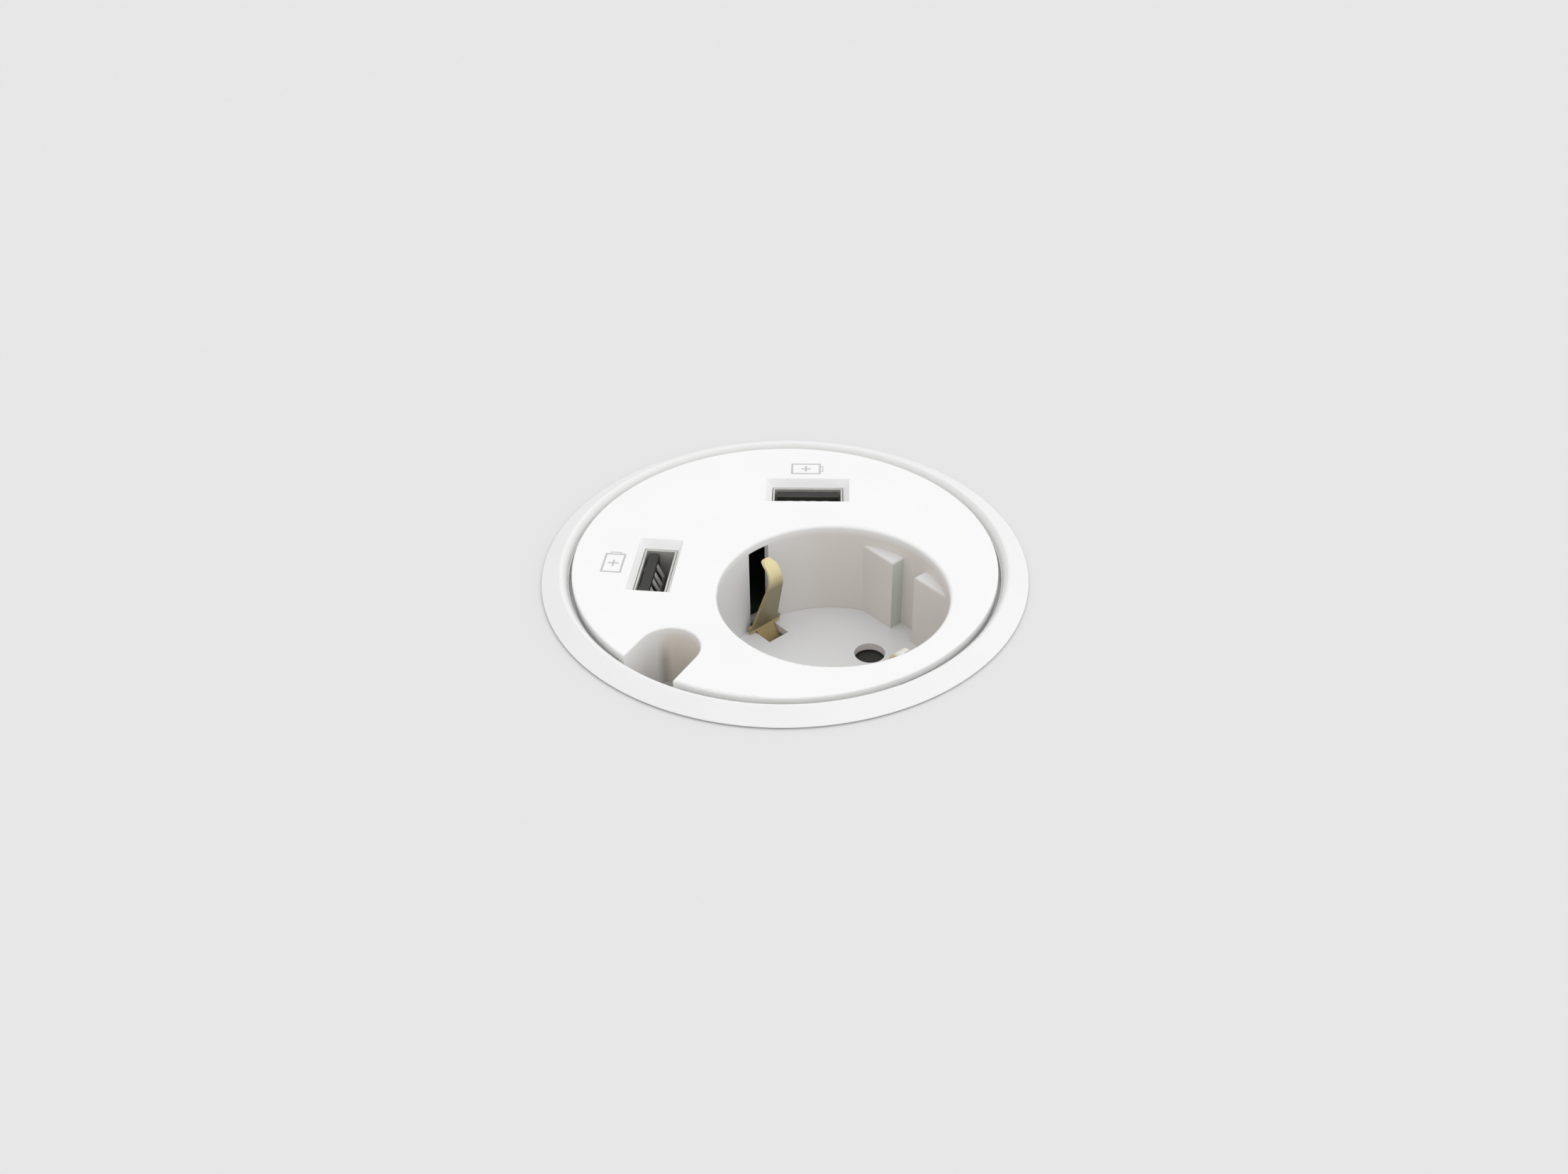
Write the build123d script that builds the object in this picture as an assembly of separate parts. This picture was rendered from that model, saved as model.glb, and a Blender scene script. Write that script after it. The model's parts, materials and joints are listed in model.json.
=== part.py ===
from build123d import *
from math import cos, pi, radians, sin
import os

os.makedirs("parts", exist_ok=True)

# Round desk socket: one earthed mains outlet, two charging ports and a cable channel.
# Millimetres. The origin is on the desk surface at the centre of the hole, +Z is up, +X runs
# through both mains pins, and +Y runs from the mains recess to the gap between the ports.

# Collar and the desk that it sits in
desk_hole_d = 80.0
desk_thickness = 25.0
hole_slack = 0.4
neck_height = 8.0
flange_r = 44.0
flange_edge = 0.15
flange_crest_r = 40.55
flange_height = 2.25
lip_bow_r = 2.4
lip_ledge = 0.1
lip_round = 0.5
gasket_thickness = 0.3
gasket_width = 2.7
gasket_setback = 0.7
sleeve_length = 42.0
sleeve_wall = 1.7
counterbore_wall = 0.45
notch_depth = 6.0
notch_slack = 0.3
gap_groove = 2.0
gap_groove_overlap = 0.15

# Screw thread of the collar and its nut
thread_pitch = 4.0
thread_depth = 1.0
thread_root_width = 2.4
thread_crest_width = 1.2
thread_turns = 7
thread_end = 3.0
thread_slack = 0.3
thread_bite = 0.1
nut_thread_turns = 1.5
nut_thread_start = 1.5
nut_height = 9.0
nut_wall = 5.0
nut_ribs = 12
nut_rib_r = 1.1
washer_thickness = 1.5
washer_slack = 0.35
washer_gap = 0.05

# Face plate
plate_gap = 0.6
plate_top = 2.0
plate_thickness = 2.0
plate_rim = 1.5
plate_edge_round = 0.35
insert_slack = 0.4
skirt_depth = 10.0
skirt_wall = 1.5

# Snap noses that hold the insert in the collar
nose_angles = (30, 150, 270)
nose_width = 7.4
nose_height = 1.8
nose_reach = 0.8
nose_top = -5.2
nose_slack = 0.3
tongue_slit = 1.0
tongue_top = -1.5

# Mains recess
recess_y = -13.0
recess_depth = 19.0
recess_top_r = 20.6
recess_low_r = 20.5
recess_rim_round = 0.6
cup_wall = 1.1
guide_distance = 17.55
guide_groove = 5.6
guide_drop = 3.8
guide_round = 0.5
clip_slot_width = 4.7
clip_slot_drop = 1.7
clip_slot_reach = 0.8

# Charging ports, in a mirrored pair
port_x = 18.53
port_y = 14.53
port_turn = 42.6
funnel_length = 16.1
funnel_width = 8.0
funnel_depth = 1.5
port_hole_slack = 0.15
port_sleeve_wall = 1.1
port_sleeve_depth = 4.5
shell_length = 13.5
shell_width = 5.9
shell_wall = 0.35
shell_drop = 1.6
finger_width = 1.6
finger_length = 5.5
finger_offset = 3.0
finger_leans = {-1: 4.0, 1: 1.5}
finger_drop = 1.4
finger_slit = 0.4
shell_leg_width = 1.4
shell_leg_length = 2.8
tongue_end_gap = 0.5
tongue_thickness = 1.8
tongue_offset = 1.2
tongue_drop = 1.9
port_base_height = 3.0
port_base_slack = 0.05
shell_leg_slack = 0.2
port_contact_places = (-3.5, -1.0, 1.0, 3.5)
port_contact_width = 1.1
port_contact_thickness = 0.25
port_contact_bow = 1.0

# Cable channel
channel_x = -31.3
channel_y = -6.0
channel_angle = -160.8
channel_r = 5.35
channel_wall = 1.5
channel_reach = 14.0

# Rear housing
housing_depth = 54.0
housing_wall = 1.6
housing_floor = 2.0
housing_joint_gap = 0.1
lip_height = 2.0
lip_wall = 0.9
lip_slack = 0.15
lip_cup_gap = 0.3
post_circle_r = 30.6
post_angles = (90, -10, -150)
post_r = 3.0
post_gap = 0.2
boss_r = 4.6
boss_height = 4.1
housing_screw_r = 1.5
housing_screw_head_r = 2.8
housing_screw_head = 2.0
housing_screw_sink = 2.3
housing_screw_length = 12.0
screw_slack = 0.2
thread_hole_slack = 0.05
driver_slot = 0.8

# Socket floor, shutter and contacts
floor_thickness = 1.5
floor_fit = 0.05
floor_ring_r = 18.0
floor_ring_height = 1.4
floor_skirt_depth = 4.5
floor_skirt_wall = 1.1
pin_spacing = 19.0
pin_hole_r = 2.9
floor_slot_width = 4.7
floor_slot_inner_r = 14.9
shutter_gap = 0.3
shutter_thickness = 1.8
shutter_hub_r = 3.0
shutter_arm_width = 4.0
shutter_blade_r = 3.5
shutter_pin_r = 1.8
running_clearance = 0.06
spring_x = 3.6
spring_wire_r = 0.175
spring_coil_r = 0.8
spring_turns = 8
spring_length = 8.6
spring_seat_gap = 0.1
spring_lug = 1.6
carrier_gap = 0.4
carrier_plug_slack = 0.2
carrier_flange = 2.0
carrier_body_r = 17.5
terminal_floor_gap = 3.9
ear_distance = 24.2
ear_angle = 20.0
ear_r = 2.55
carrier_screw_r = 1.4
carrier_screw_head_r = 2.5
carrier_screw_head = 1.6
carrier_screw_length = 10.0
contact_r = 3.3
contact_bore_r = 2.5
contact_slit = 0.8
contact_drop = 0.7
contact_seat = 2.0
contact_base = 0.8
contact_solid_length = 3.5
pocket_slack = 0.4
tail_width = 4.6
tail_thickness = 0.8
tail_slack = 0.2
tail_length = 4.0

# Earth bracket and its two clips
strap_width = 6.0
strap_thickness = 0.8
strap_sink = 0.2
strap_overhang = 1.0
strap_slack = 0.2
groove_depth = 1.6
clip_foot_r = 17.4
clip_foot_rise = 2.0
clip_fold_r = 19.4
clip_fold_rise = 0.6
clip_bulge_r = 15.0
clip_bulge_drop = 4.85
clip_bulge_round = 3.6
clip_tip_r = 18.2
clip_tip_drop = 2.75
clip_thickness = 0.6
clip_tang_width = 4.2
clip_wing_width = 7.6
clip_wing_rise = 0.25
clip_wing_height = 1.5
clip_wing_round = 0.5
clip_root_width = 5.8
clip_tip_width = 2.7
clip_tip_round = 1.3
clip_slot_fit = 0.15

# Terminals
terminal_width = 6.4
terminal_length = 8.0
terminal_height = 7.0
terminal_wire_r = 1.35
terminal_wire_height = 2.8
terminal_screw_r = 1.2
terminal_screw_head_r = 2.4
terminal_screw_head = 1.6
terminal_rib = 1.4
terminal_rib_overhang = 1.5

# Charger board
board_top = -14.3
board_thickness = 1.6
board_edge_gap = 1.3
board_low_y = 2.0
board_cup_gap = 1.0
standoffs = ((12.5, 28.5), (-12.5, 28.5), (29.5, 5.0), (-29.5, 5.0))
standoff_r = 2.6
board_screw_r = 1.1
board_screw_head_r = 2.0
board_screw_head = 1.2
board_screw_length = 7.0
board_hole_slack = 0.3
transformer_y = 19.6
transformer_core = (15.0, 12.4, 11.0)
core_limb = 2.6
winding_r = 4.6
capacitor_x = 13.5
capacitor_y = 10.5
capacitor_r = 4.0
capacitor_height = 13.0
capacitor_groove = 0.35
inductor_x = 22.8
inductor_y = 19.2
inductor_r = 3.0
inductor_height = 6.0
fuse_y = 11.0
fuse_r = 1.7
fuse_length = 10.0
fuse_cap = 2.2
chip_x = 24.3
chip_y = 6.0
chip_size = (5.0, 4.0, 1.6)
chip_lead = 0.5

# Mains inlet and wires
inlet_y = 17.0
inlet_length = 30.0
inlet_width = 13.0
inlet_wire_gap = 3.4
inlet_wall = 1.5
inlet_back = 3.0
inlet_flange = 1.5
inlet_flange_overhang = 1.5
inlet_fit = 0.2
inlet_pin_spacing = 9.0
inlet_pin_r = 1.3
inlet_pin_setback = 3.0
inlet_tab = (5.6, 2.6, 2.5)
wire_r = 1.2
conductor_r = 0.9
wire_offset = 1.4
wire_rise = 4.0
wire_drop_y = 7.5
wire_bend_r = 2.6
wire_strip = 3.0

# Radii and heights that follow from the values above
neck_r = desk_hole_d / 2 - hole_slack
thread_crest_r = neck_r - 0.1
thread_root_r = thread_crest_r - thread_depth
bore_r = thread_root_r - sleeve_wall
counterbore_r = neck_r - counterbore_wall
plate_r = counterbore_r - plate_gap
groove_r = plate_r - gap_groove_overlap
ledge_z = plate_top - plate_rim
plate_bottom = plate_top - plate_thickness
skirt_r = bore_r - insert_slack
skirt_bore_r = skirt_r - skirt_wall
floor_top = plate_top - recess_depth
floor_bottom = floor_top - floor_thickness
cup_r = recess_low_r + cup_wall
pin_x = pin_spacing / 2
shutter_top = floor_bottom - shutter_gap
shutter_bottom = shutter_top - shutter_thickness
carrier_top = shutter_bottom - carrier_gap
floor_skirt_bottom = floor_bottom - floor_skirt_depth
carrier_flange_bottom = floor_skirt_bottom - carrier_flange
housing_floor_top = housing_floor - housing_depth
terminal_bottom = housing_floor_top + terminal_floor_gap + terminal_screw_head
carrier_bottom = terminal_bottom + terminal_height
contact_top = carrier_top - contact_drop
contact_bottom = carrier_bottom + contact_seat
strap_top = carrier_top - strap_sink
strap_bottom = strap_top - strap_thickness
groove_bottom = carrier_top - groove_depth
clip_pivot_z = strap_top - strap_thickness / 2
board_bottom = board_top - board_thickness
housing_top = -skirt_depth - housing_joint_gap
housing_inner_r = skirt_r - housing_wall
board_r = housing_inner_r - board_edge_gap
boss_top = boss_height - housing_depth
post_bottom = boss_top + post_gap
port_hole_length = shell_length + 2 * port_hole_slack
port_hole_width = shell_width + 2 * port_hole_slack
shell_top = plate_top - shell_drop
shell_inner_length = shell_length - 2 * shell_wall
shell_inner_width = shell_width - 2 * shell_wall
tongue_length = shell_inner_length - 2 * tongue_end_gap
inlet_bottom = -housing_depth
wire_high_z = board_bottom - transformer_core[2] - inlet_wire_gap - wire_r
inlet_top = wire_high_z - wire_rise - inlet_tab[2]
wire_low_z = terminal_bottom + terminal_wire_height
recess = (0, recess_y)
pin_places = ((-pin_x, recess_y), (pin_x, recess_y))


def polar(radius, angle, centre=(0, 0)):
    return (centre[0] + radius * cos(radians(angle)), centre[1] + radius * sin(radians(angle)))


def cyl(radius, low, high, at=(0, 0)):
    body = Cylinder(radius, high - low, align=(Align.CENTER, Align.CENTER, Align.MIN))
    return Pos(at[0], at[1], low) * body


def ring(outer, inner, low, high, at=(0, 0)):
    return cyl(outer, low, high, at) - cyl(inner, low, high, at)


def block(length, width, low, high, at=(0, 0), turn=0):
    body = Box(length, width, high - low, align=(Align.CENTER, Align.CENTER, Align.MIN))
    return Pos(at[0], at[1], low) * Rot(0, 0, turn) * body


def rod_y(radius, start, end, x, z):
    return Pos(x, start, z) * Rot(-90, 0, 0) * cyl(radius, 0, end - start)


def rod_x(radius, start, end, y, z):
    return Pos(start, y, z) * Rot(0, 90, 0) * cyl(radius, 0, end - start)


def screw(shank_r, length, head_r, head, at, head_low):
    """A pan-head screw that points up, with a cross slot in its head."""
    body = cyl(head_r, head_low, head_low + head, at) + cyl(shank_r, head_low, head_low + head + length, at)
    for turn in (0, 90):
        body -= block(head_r * 1.3, driver_slot, head_low - 1, head_low + head / 2, at, turn)
    return body


def helical_ridge(root_r, crest_r, root_width, crest_width, start_z, turns):
    """A trapezoid thread ridge whose middle starts at start_z on the +X side."""
    corners = ((root_r, -root_width), (root_r, root_width), (crest_r, crest_width), (crest_r, -crest_width))
    lines = [
        Edge.make_helix(thread_pitch, thread_pitch * turns, radius).translate((0, 0, start_z + width / 2))
        for radius, width in corners
    ]
    faces = [Face.make_surface_from_curves(lines[i], lines[(i + 1) % 4]) for i in range(4)]
    for end in (0, 1):
        points = [line.position_at(end) for line in lines]
        faces.append(Face(Wire([Edge.make_line(points[i], points[(i + 1) % 4]) for i in range(4)])))
    return Solid(Shell(faces))


def channel_body(radius, low, high):
    """The U-shaped space of the cable channel, open towards the rim."""
    arm = Pos(channel_reach / 2, 0) * Rectangle(channel_reach, 2 * radius)
    outline = Pos(channel_x, channel_y) * Rot(0, 0, channel_angle) * (Circle(radius) + arm)
    return Pos(0, 0, low) * extrude(outline, high - low)


def port_place(side):
    return Pos(side * port_x, port_y, 0) * Rot(0, 0, -side * port_turn)


def ear_places():
    return [polar(ear_distance, ear_angle + half, recess) for half in (0, 180)]


def post_places():
    return [polar(post_circle_r, angle) for angle in post_angles]


def mounting_collar():
    crest = (flange_crest_r, flange_height)
    edge = (flange_r, gasket_thickness + flange_edge)
    lip_foot = (counterbore_r + lip_ledge, ledge_z)
    outline = Polyline(
        lip_foot,
        (counterbore_r, ledge_z),
        (counterbore_r, ledge_z - gap_groove),
        (groove_r, ledge_z - gap_groove),
        (groove_r, ledge_z),
        (bore_r, ledge_z),
        (bore_r, -sleeve_length),
        (thread_root_r, -sleeve_length),
        (thread_root_r, -neck_height),
        (neck_r, -neck_height),
        (neck_r, gasket_thickness),
        (flange_r, gasket_thickness),
        edge,
        crest,
    )
    outline += RadiusArc(crest, lip_foot, -lip_bow_r)
    body = revolve(Plane.XZ * make_face(outline), Axis.Z)
    body = fillet(body.edges().filter_by(GeomType.CIRCLE).group_by(Axis.Z)[-1], lip_round)
    pocket_r = channel_r + channel_wall + notch_slack
    body -= channel_body(pocket_r, -notch_depth, ledge_z) & cyl(counterbore_r, -notch_depth, ledge_z)
    body += helical_ridge(
        thread_root_r - thread_bite,
        thread_crest_r,
        thread_root_width,
        thread_crest_width,
        thread_end - sleeve_length,
        thread_turns,
    )
    for angle in nose_angles:
        body -= snap_nose(angle, nose_slack)
    return body


def snap_nose(angle, slack):
    """A nose on the skirt, or with slack the pocket that takes it."""
    low = nose_top - nose_height - slack
    outer = skirt_r + nose_reach + slack
    body = ring(outer, skirt_r - skirt_wall / 2, low, nose_top + slack)
    return body & block(2 * outer, nose_width + 2 * slack, low, nose_top + slack, polar(outer, angle), angle)


def flange_gasket():
    outer = flange_r - gasket_setback
    return ring(outer, outer - gasket_width, 0, gasket_thickness)


def clamp_washer():
    inner = neck_r + washer_slack
    return ring(thread_crest_r + thread_slack + nut_wall, inner, -desk_thickness - washer_thickness, -desk_thickness)


def lock_nut():
    top = -desk_thickness - washer_thickness - washer_gap
    bottom = top - nut_height
    inner = thread_crest_r + thread_slack
    body = ring(inner + nut_wall, inner, bottom, top)
    for rib in range(nut_ribs):
        body += cyl(nut_rib_r, bottom, top - 1, polar(inner + nut_wall, rib * 360 / nut_ribs))
    ridge_start = bottom + nut_thread_start
    between_ridges = thread_end - sleeve_length + thread_pitch / 2
    ridge_turn = 360 * (ridge_start - between_ridges) / thread_pitch
    body += Rot(0, 0, ridge_turn) * helical_ridge(
        inner + thread_bite,
        thread_root_r + thread_slack,
        thread_root_width,
        thread_crest_width,
        ridge_start,
        nut_thread_turns,
    )
    return body


def plate_disc():
    outline = Circle(plate_r) - Pos(channel_x, channel_y) * Rot(0, 0, channel_angle) * (
        Circle(channel_r) + Pos(channel_reach / 2, 0) * Rectangle(channel_reach, 2 * channel_r)
    )
    disc = Pos(0, 0, ledge_z) * extrude(outline, plate_rim)
    return fillet(disc.edges().group_by(Axis.Z)[-1], plate_edge_round)


def recess_cut():
    """The mains recess as one turned shape, with a rounded rim and a slight draft."""
    rim_r = recess_top_r + recess_rim_round
    rim_low = plate_top - recess_rim_round
    rim_mid = (rim_r - recess_rim_round * cos(pi / 4), rim_low + recess_rim_round * sin(pi / 4))
    outline = Polyline(
        (rim_r, plate_top),
        (rim_r, plate_top + 1),
        (0, plate_top + 1),
        (0, floor_bottom - 1),
        (recess_low_r, floor_bottom - 1),
        (recess_low_r, floor_top),
        (recess_top_r, rim_low),
    )
    outline += ThreePointArc((recess_top_r, rim_low), rim_mid, (rim_r, plate_top))
    return Pos(0, recess_y, 0) * revolve(Plane.XZ * make_face(outline), Axis.Z)


def plug_guides():
    """Four blocks on the recess wall that line a plug up, two on each side of a groove."""
    top = plate_top - guide_drop
    body = cyl(recess_top_r + cup_wall / 2, floor_bottom, top)
    body -= block(2 * guide_distance, 4 * cup_r, floor_bottom, top)
    body -= block(4 * cup_r, guide_groove, floor_bottom, top)
    upper = body.edges().group_by(Axis.Z)[-1].filter_by(GeomType.LINE)
    return Pos(0, recess_y, 0) * fillet(upper, guide_round)


def port_funnel():
    """The flared mouth and the straight hole of one port, about its own centre."""
    lift = 0.2
    grow = lift / funnel_depth
    mouth_length = funnel_length + (funnel_length - port_hole_length) * grow
    mouth_width = funnel_width + (funnel_width - port_hole_width) * grow
    mouth = Pos(0, 0, plate_top + lift) * Rectangle(mouth_length, mouth_width)
    throat = Pos(0, 0, plate_top - funnel_depth) * Rectangle(port_hole_length, port_hole_width)
    hole = block(port_hole_length, port_hole_width, -port_sleeve_depth - 1, plate_top - funnel_depth)
    return loft([throat, mouth], ruled=True) + hole


def face_plate():
    body = plate_disc()
    body += cyl(skirt_r, plate_bottom, ledge_z)
    body += ring(skirt_r, skirt_bore_r, -skirt_depth, plate_bottom)
    tube = channel_body(channel_r + channel_wall, -skirt_depth, plate_bottom)
    body += tube & cyl(skirt_r, -skirt_depth, plate_bottom)
    arms = channel_body(channel_r + channel_wall, notch_slack - notch_depth, ledge_z)
    body += arms & cyl(plate_r, notch_slack - notch_depth, ledge_z)
    body += cyl(cup_r, floor_bottom, plate_bottom, recess)
    for side in (-1, 1):
        sleeve_length_out = port_hole_length + 2 * port_sleeve_wall
        sleeve_width_out = port_hole_width + 2 * port_sleeve_wall
        body += port_place(side) * block(sleeve_length_out, sleeve_width_out, -port_sleeve_depth, plate_bottom)
    for place in post_places():
        body += cyl(post_r, post_bottom, plate_bottom, place)
    for place in standoffs:
        body += cyl(standoff_r, board_top, plate_bottom, place)
    for place in ear_places():
        body += cyl(ear_r, floor_skirt_bottom, plate_bottom, place)
    body -= recess_cut()
    body += plug_guides()
    for half in (-1, 1):
        slot_high = plate_top - clip_slot_drop
        slot_middle = recess_y + half * (recess_low_r + cup_wall / 2)
        slot_length = cup_wall + 2 * clip_slot_reach
        body -= block(clip_slot_width, slot_length, floor_bottom - 1, slot_high, (0, slot_middle))
    for side in (-1, 1):
        body -= port_place(side) * port_funnel()
    body -= channel_body(channel_r, -skirt_depth - 1, ledge_z + plate_rim / 4)
    for place in post_places():
        hole_top = post_bottom + housing_screw_length
        body -= cyl(housing_screw_r + thread_hole_slack, post_bottom, hole_top, place)
    for place in standoffs:
        hole_top = board_top + board_screw_length
        body -= cyl(board_screw_r + thread_hole_slack, board_top, hole_top, place)
    for place in ear_places():
        hole_top = floor_skirt_bottom + carrier_screw_length
        body -= cyl(carrier_screw_r + thread_hole_slack, floor_skirt_bottom, hole_top, place)
    for angle in nose_angles:
        body -= tongue_slits(angle)
        body += snap_nose(angle, 0)
    return body


def tongue_slits(angle):
    """Two slits that free the sprung tongue of one nose."""
    cuts = []
    for side in (-1, 1):
        offset = side * (nose_width + tongue_slit) / 2
        place = Rot(0, 0, angle) * Pos(skirt_r, offset, 0)
        cuts.append(place * block(4 * skirt_wall, tongue_slit, -skirt_depth - 1, tongue_top))
    return cuts[0] + cuts[1]


def socket_floor():
    body = cyl(recess_low_r - floor_fit, floor_bottom, floor_top, recess)
    body += ring(cup_r, floor_ring_r, floor_bottom - floor_ring_height, floor_bottom, recess)
    body += ring(cup_r, cup_r - floor_skirt_wall, floor_skirt_bottom, floor_bottom - floor_ring_height, recess)
    body += cyl(shutter_pin_r, shutter_bottom - shutter_gap / 2, floor_bottom, recess)
    lug_y = recess_y + shutter_arm_width / 2 + spring_length + 2 * spring_seat_gap + spring_lug / 2
    lug_low = shutter_bottom - shutter_gap / 2
    body += block(1.5 * spring_lug, spring_lug, lug_low, floor_bottom, (spring_x, lug_y))
    for place in pin_places:
        body -= cyl(pin_hole_r, floor_bottom, floor_top, place)
    slot_length = recess_low_r - floor_slot_inner_r
    for half in (-1, 1):
        slot_y = recess_y + half * (floor_slot_inner_r + slot_length / 2)
        body -= block(floor_slot_width, slot_length, floor_bottom - floor_ring_height, floor_top, (0, slot_y))
    for side in (-1, 1):
        notch_x = side * (guide_distance + cup_r) / 2
        for half in (-1, 1):
            notch_y = recess_y + half * (guide_groove / 2 + cup_r / 2)
            notch = block(cup_r - guide_distance, cup_r, floor_bottom, floor_top, (notch_x, notch_y))
            body -= notch & cyl(cup_r, floor_bottom, floor_top, recess)
    return body


def shutter_rotor():
    body = cyl(shutter_hub_r, shutter_bottom, shutter_top)
    body += block(pin_spacing, shutter_arm_width, shutter_bottom, shutter_top)
    for side in (-1, 1):
        body += cyl(shutter_blade_r, shutter_bottom, shutter_top, (side * pin_x, 0))
    body -= cyl(shutter_pin_r + running_clearance, shutter_bottom, shutter_top)
    return Pos(0, recess_y, 0) * body


def shutter_spring():
    pitch = (spring_length - 2 * spring_wire_r) / spring_turns
    start = (spring_x, recess_y + shutter_arm_width / 2 + spring_seat_gap + spring_wire_r)
    path = Edge.make_helix(pitch, pitch * spring_turns, spring_coil_r)
    section = Plane(path @ 0, z_dir=path % 0) * Circle(spring_wire_r)
    coil = sweep(section, path=path, is_frenet=True)
    return Pos(start[0], start[1], (shutter_top + shutter_bottom) / 2) * Rot(-90, 0, 0) * coil


def contact_carrier():
    body = cyl(cup_r - floor_skirt_wall - carrier_plug_slack, floor_skirt_bottom, carrier_top, recess)
    body += cyl(cup_r, carrier_flange_bottom, floor_skirt_bottom, recess)
    body += cyl(carrier_body_r, carrier_bottom, carrier_flange_bottom, recess)
    for half, place in zip((0, 180), ear_places()):
        arm_middle = polar((cup_r + ear_distance) / 2 - 1, ear_angle + half, recess)
        arm_length = ear_distance - cup_r + 2
        body += cyl(ear_r, carrier_flange_bottom, floor_skirt_bottom, place)
        body += block(arm_length, 2 * ear_r, carrier_flange_bottom, floor_skirt_bottom, arm_middle, ear_angle)
    for x in (-1.5, -0.5, 0.5, 1.5):
        rib_length = terminal_length + 2 * terminal_rib_overhang
        body += block(terminal_rib, rib_length, terminal_bottom, carrier_bottom, (x * pin_x, recess_y))
    for place in pin_places:
        body -= cyl(contact_r + pocket_slack, contact_bottom, carrier_top, place)
    body -= block(strap_width + 2 * strap_slack, 2 * cup_r, groove_bottom, carrier_top, recess)
    slot_length = tail_width + 2 * tail_slack
    slot_width = tail_thickness + 2 * tail_slack
    for place in (*pin_places, recess):
        body -= block(slot_length, slot_width, carrier_bottom, carrier_top, place)
    for place in ear_places():
        body -= cyl(carrier_screw_r + screw_slack, carrier_flange_bottom, floor_skirt_bottom, place)
    return body


def pin_contact(side):
    """A slit brass tube that grips one plug pin, with a flat tail below it."""
    at = (side * pin_x, recess_y)
    body = ring(contact_r, contact_bore_r, contact_bottom, contact_top, at)
    body += cyl(contact_r, contact_bottom, contact_bottom + contact_base, at)
    slit_low = contact_bottom + contact_solid_length
    for turn in (45, 135):
        body -= block(3 * contact_r, contact_slit, slit_low, contact_top, at, turn)
    return body + block(tail_width, tail_thickness, carrier_bottom - tail_length / 2, contact_bottom, at)


def earth_strap():
    body = block(strap_width, 2 * (clip_foot_r + strap_overhang), strap_bottom, strap_top, recess)
    body += block(tail_width, tail_thickness, carrier_bottom - tail_length / 2, strap_bottom, recess)
    slot_length = clip_tang_width + 2 * clip_slot_fit
    slot_width = clip_thickness + 2 * clip_slot_fit
    for half in (-1, 1):
        place = (0, recess_y + half * clip_foot_r)
        body -= block(slot_length, slot_width, strap_bottom, strap_top, place)
    return body


def clip_outline():
    """The clip seen from the middle of the recess: a tang, two wings and a tapered strip."""
    depth = 4 * clip_foot_r
    wing_low = floor_top + clip_wing_rise
    wing_high = wing_low + clip_wing_height
    bulge_z = plate_top - clip_bulge_drop
    tip_high = plate_top - clip_tip_drop + clip_thickness / 2
    wings = block(clip_wing_width, depth, wing_low, wing_high)
    corners = (
        (clip_root_width / 2, wing_high),
        (clip_tip_width / 2, bulge_z),
        (clip_tip_width / 2, tip_high),
        (-clip_tip_width / 2, tip_high),
        (-clip_tip_width / 2, bulge_z),
        (-clip_root_width / 2, wing_high),
    )
    strip = extrude(Plane.XZ * make_face(Polyline(*corners, close=True)), depth / 2, both=True)
    body = block(clip_tang_width, depth, clip_pivot_z - clip_thickness, wing_low)
    body += fillet(wings.edges().filter_by(Axis.Y), clip_wing_round)
    return body + fillet(strip.edges().filter_by(Axis.Y).group_by(Axis.Z)[-1], clip_tip_round)


def earth_clip():
    """A sprung clip on the +Y side of the recess, drawn from its foot up to its curled tip."""
    middle = FilletPolyline(
        (clip_foot_r, clip_pivot_z),
        (clip_foot_r, clip_pivot_z + clip_foot_rise),
        (clip_fold_r, floor_top + clip_fold_rise),
        (clip_bulge_r, plate_top - clip_bulge_drop),
        (clip_tip_r, plate_top - clip_tip_drop),
        radius=[clip_thickness, clip_thickness, clip_bulge_round],
    )
    strip = make_face(offset(middle, clip_thickness / 2, kind=Kind.ARC, side=Side.BOTH, closed=True))
    return extrude(Plane.YZ * strip, clip_wing_width / 2, both=True) & clip_outline()


def terminal(x):
    at = (x, recess_y)
    body = block(terminal_width, terminal_length, terminal_bottom, carrier_bottom, at)
    slot_low = carrier_bottom - tail_length / 2 - tail_slack
    slot_length = tail_width + 2 * tail_slack
    body -= block(slot_length, tail_thickness + 2 * tail_slack, slot_low, carrier_bottom, at)
    body -= rod_y(terminal_wire_r, recess_y - terminal_length, recess_y + terminal_length, x, wire_low_z)
    body -= cyl(terminal_screw_r + thread_hole_slack, terminal_bottom, wire_low_z, at)
    return body


def terminal_screw(x):
    head_low = terminal_bottom - terminal_screw_head
    reach = terminal_wire_height - conductor_r - thread_hole_slack
    head = terminal_screw_head
    return screw(terminal_screw_r, reach, terminal_screw_head_r, head, (x, recess_y), head_low)


def housing_screw(place):
    head_low = housing_screw_sink - housing_screw_head - housing_depth
    length = housing_screw_length
    return screw(housing_screw_r, length, housing_screw_head_r, housing_screw_head, place, head_low)


def carrier_screw(place):
    head_low = carrier_flange_bottom - carrier_screw_head
    length = carrier_flange + carrier_screw_length - 1
    return screw(carrier_screw_r, length, carrier_screw_head_r, carrier_screw_head, place, head_low)


def board_screw(place):
    head_low = board_bottom - board_screw_head
    length = board_thickness + board_screw_length - 1
    return screw(board_screw_r, length, board_screw_head_r, board_screw_head, place, head_low)


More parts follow.
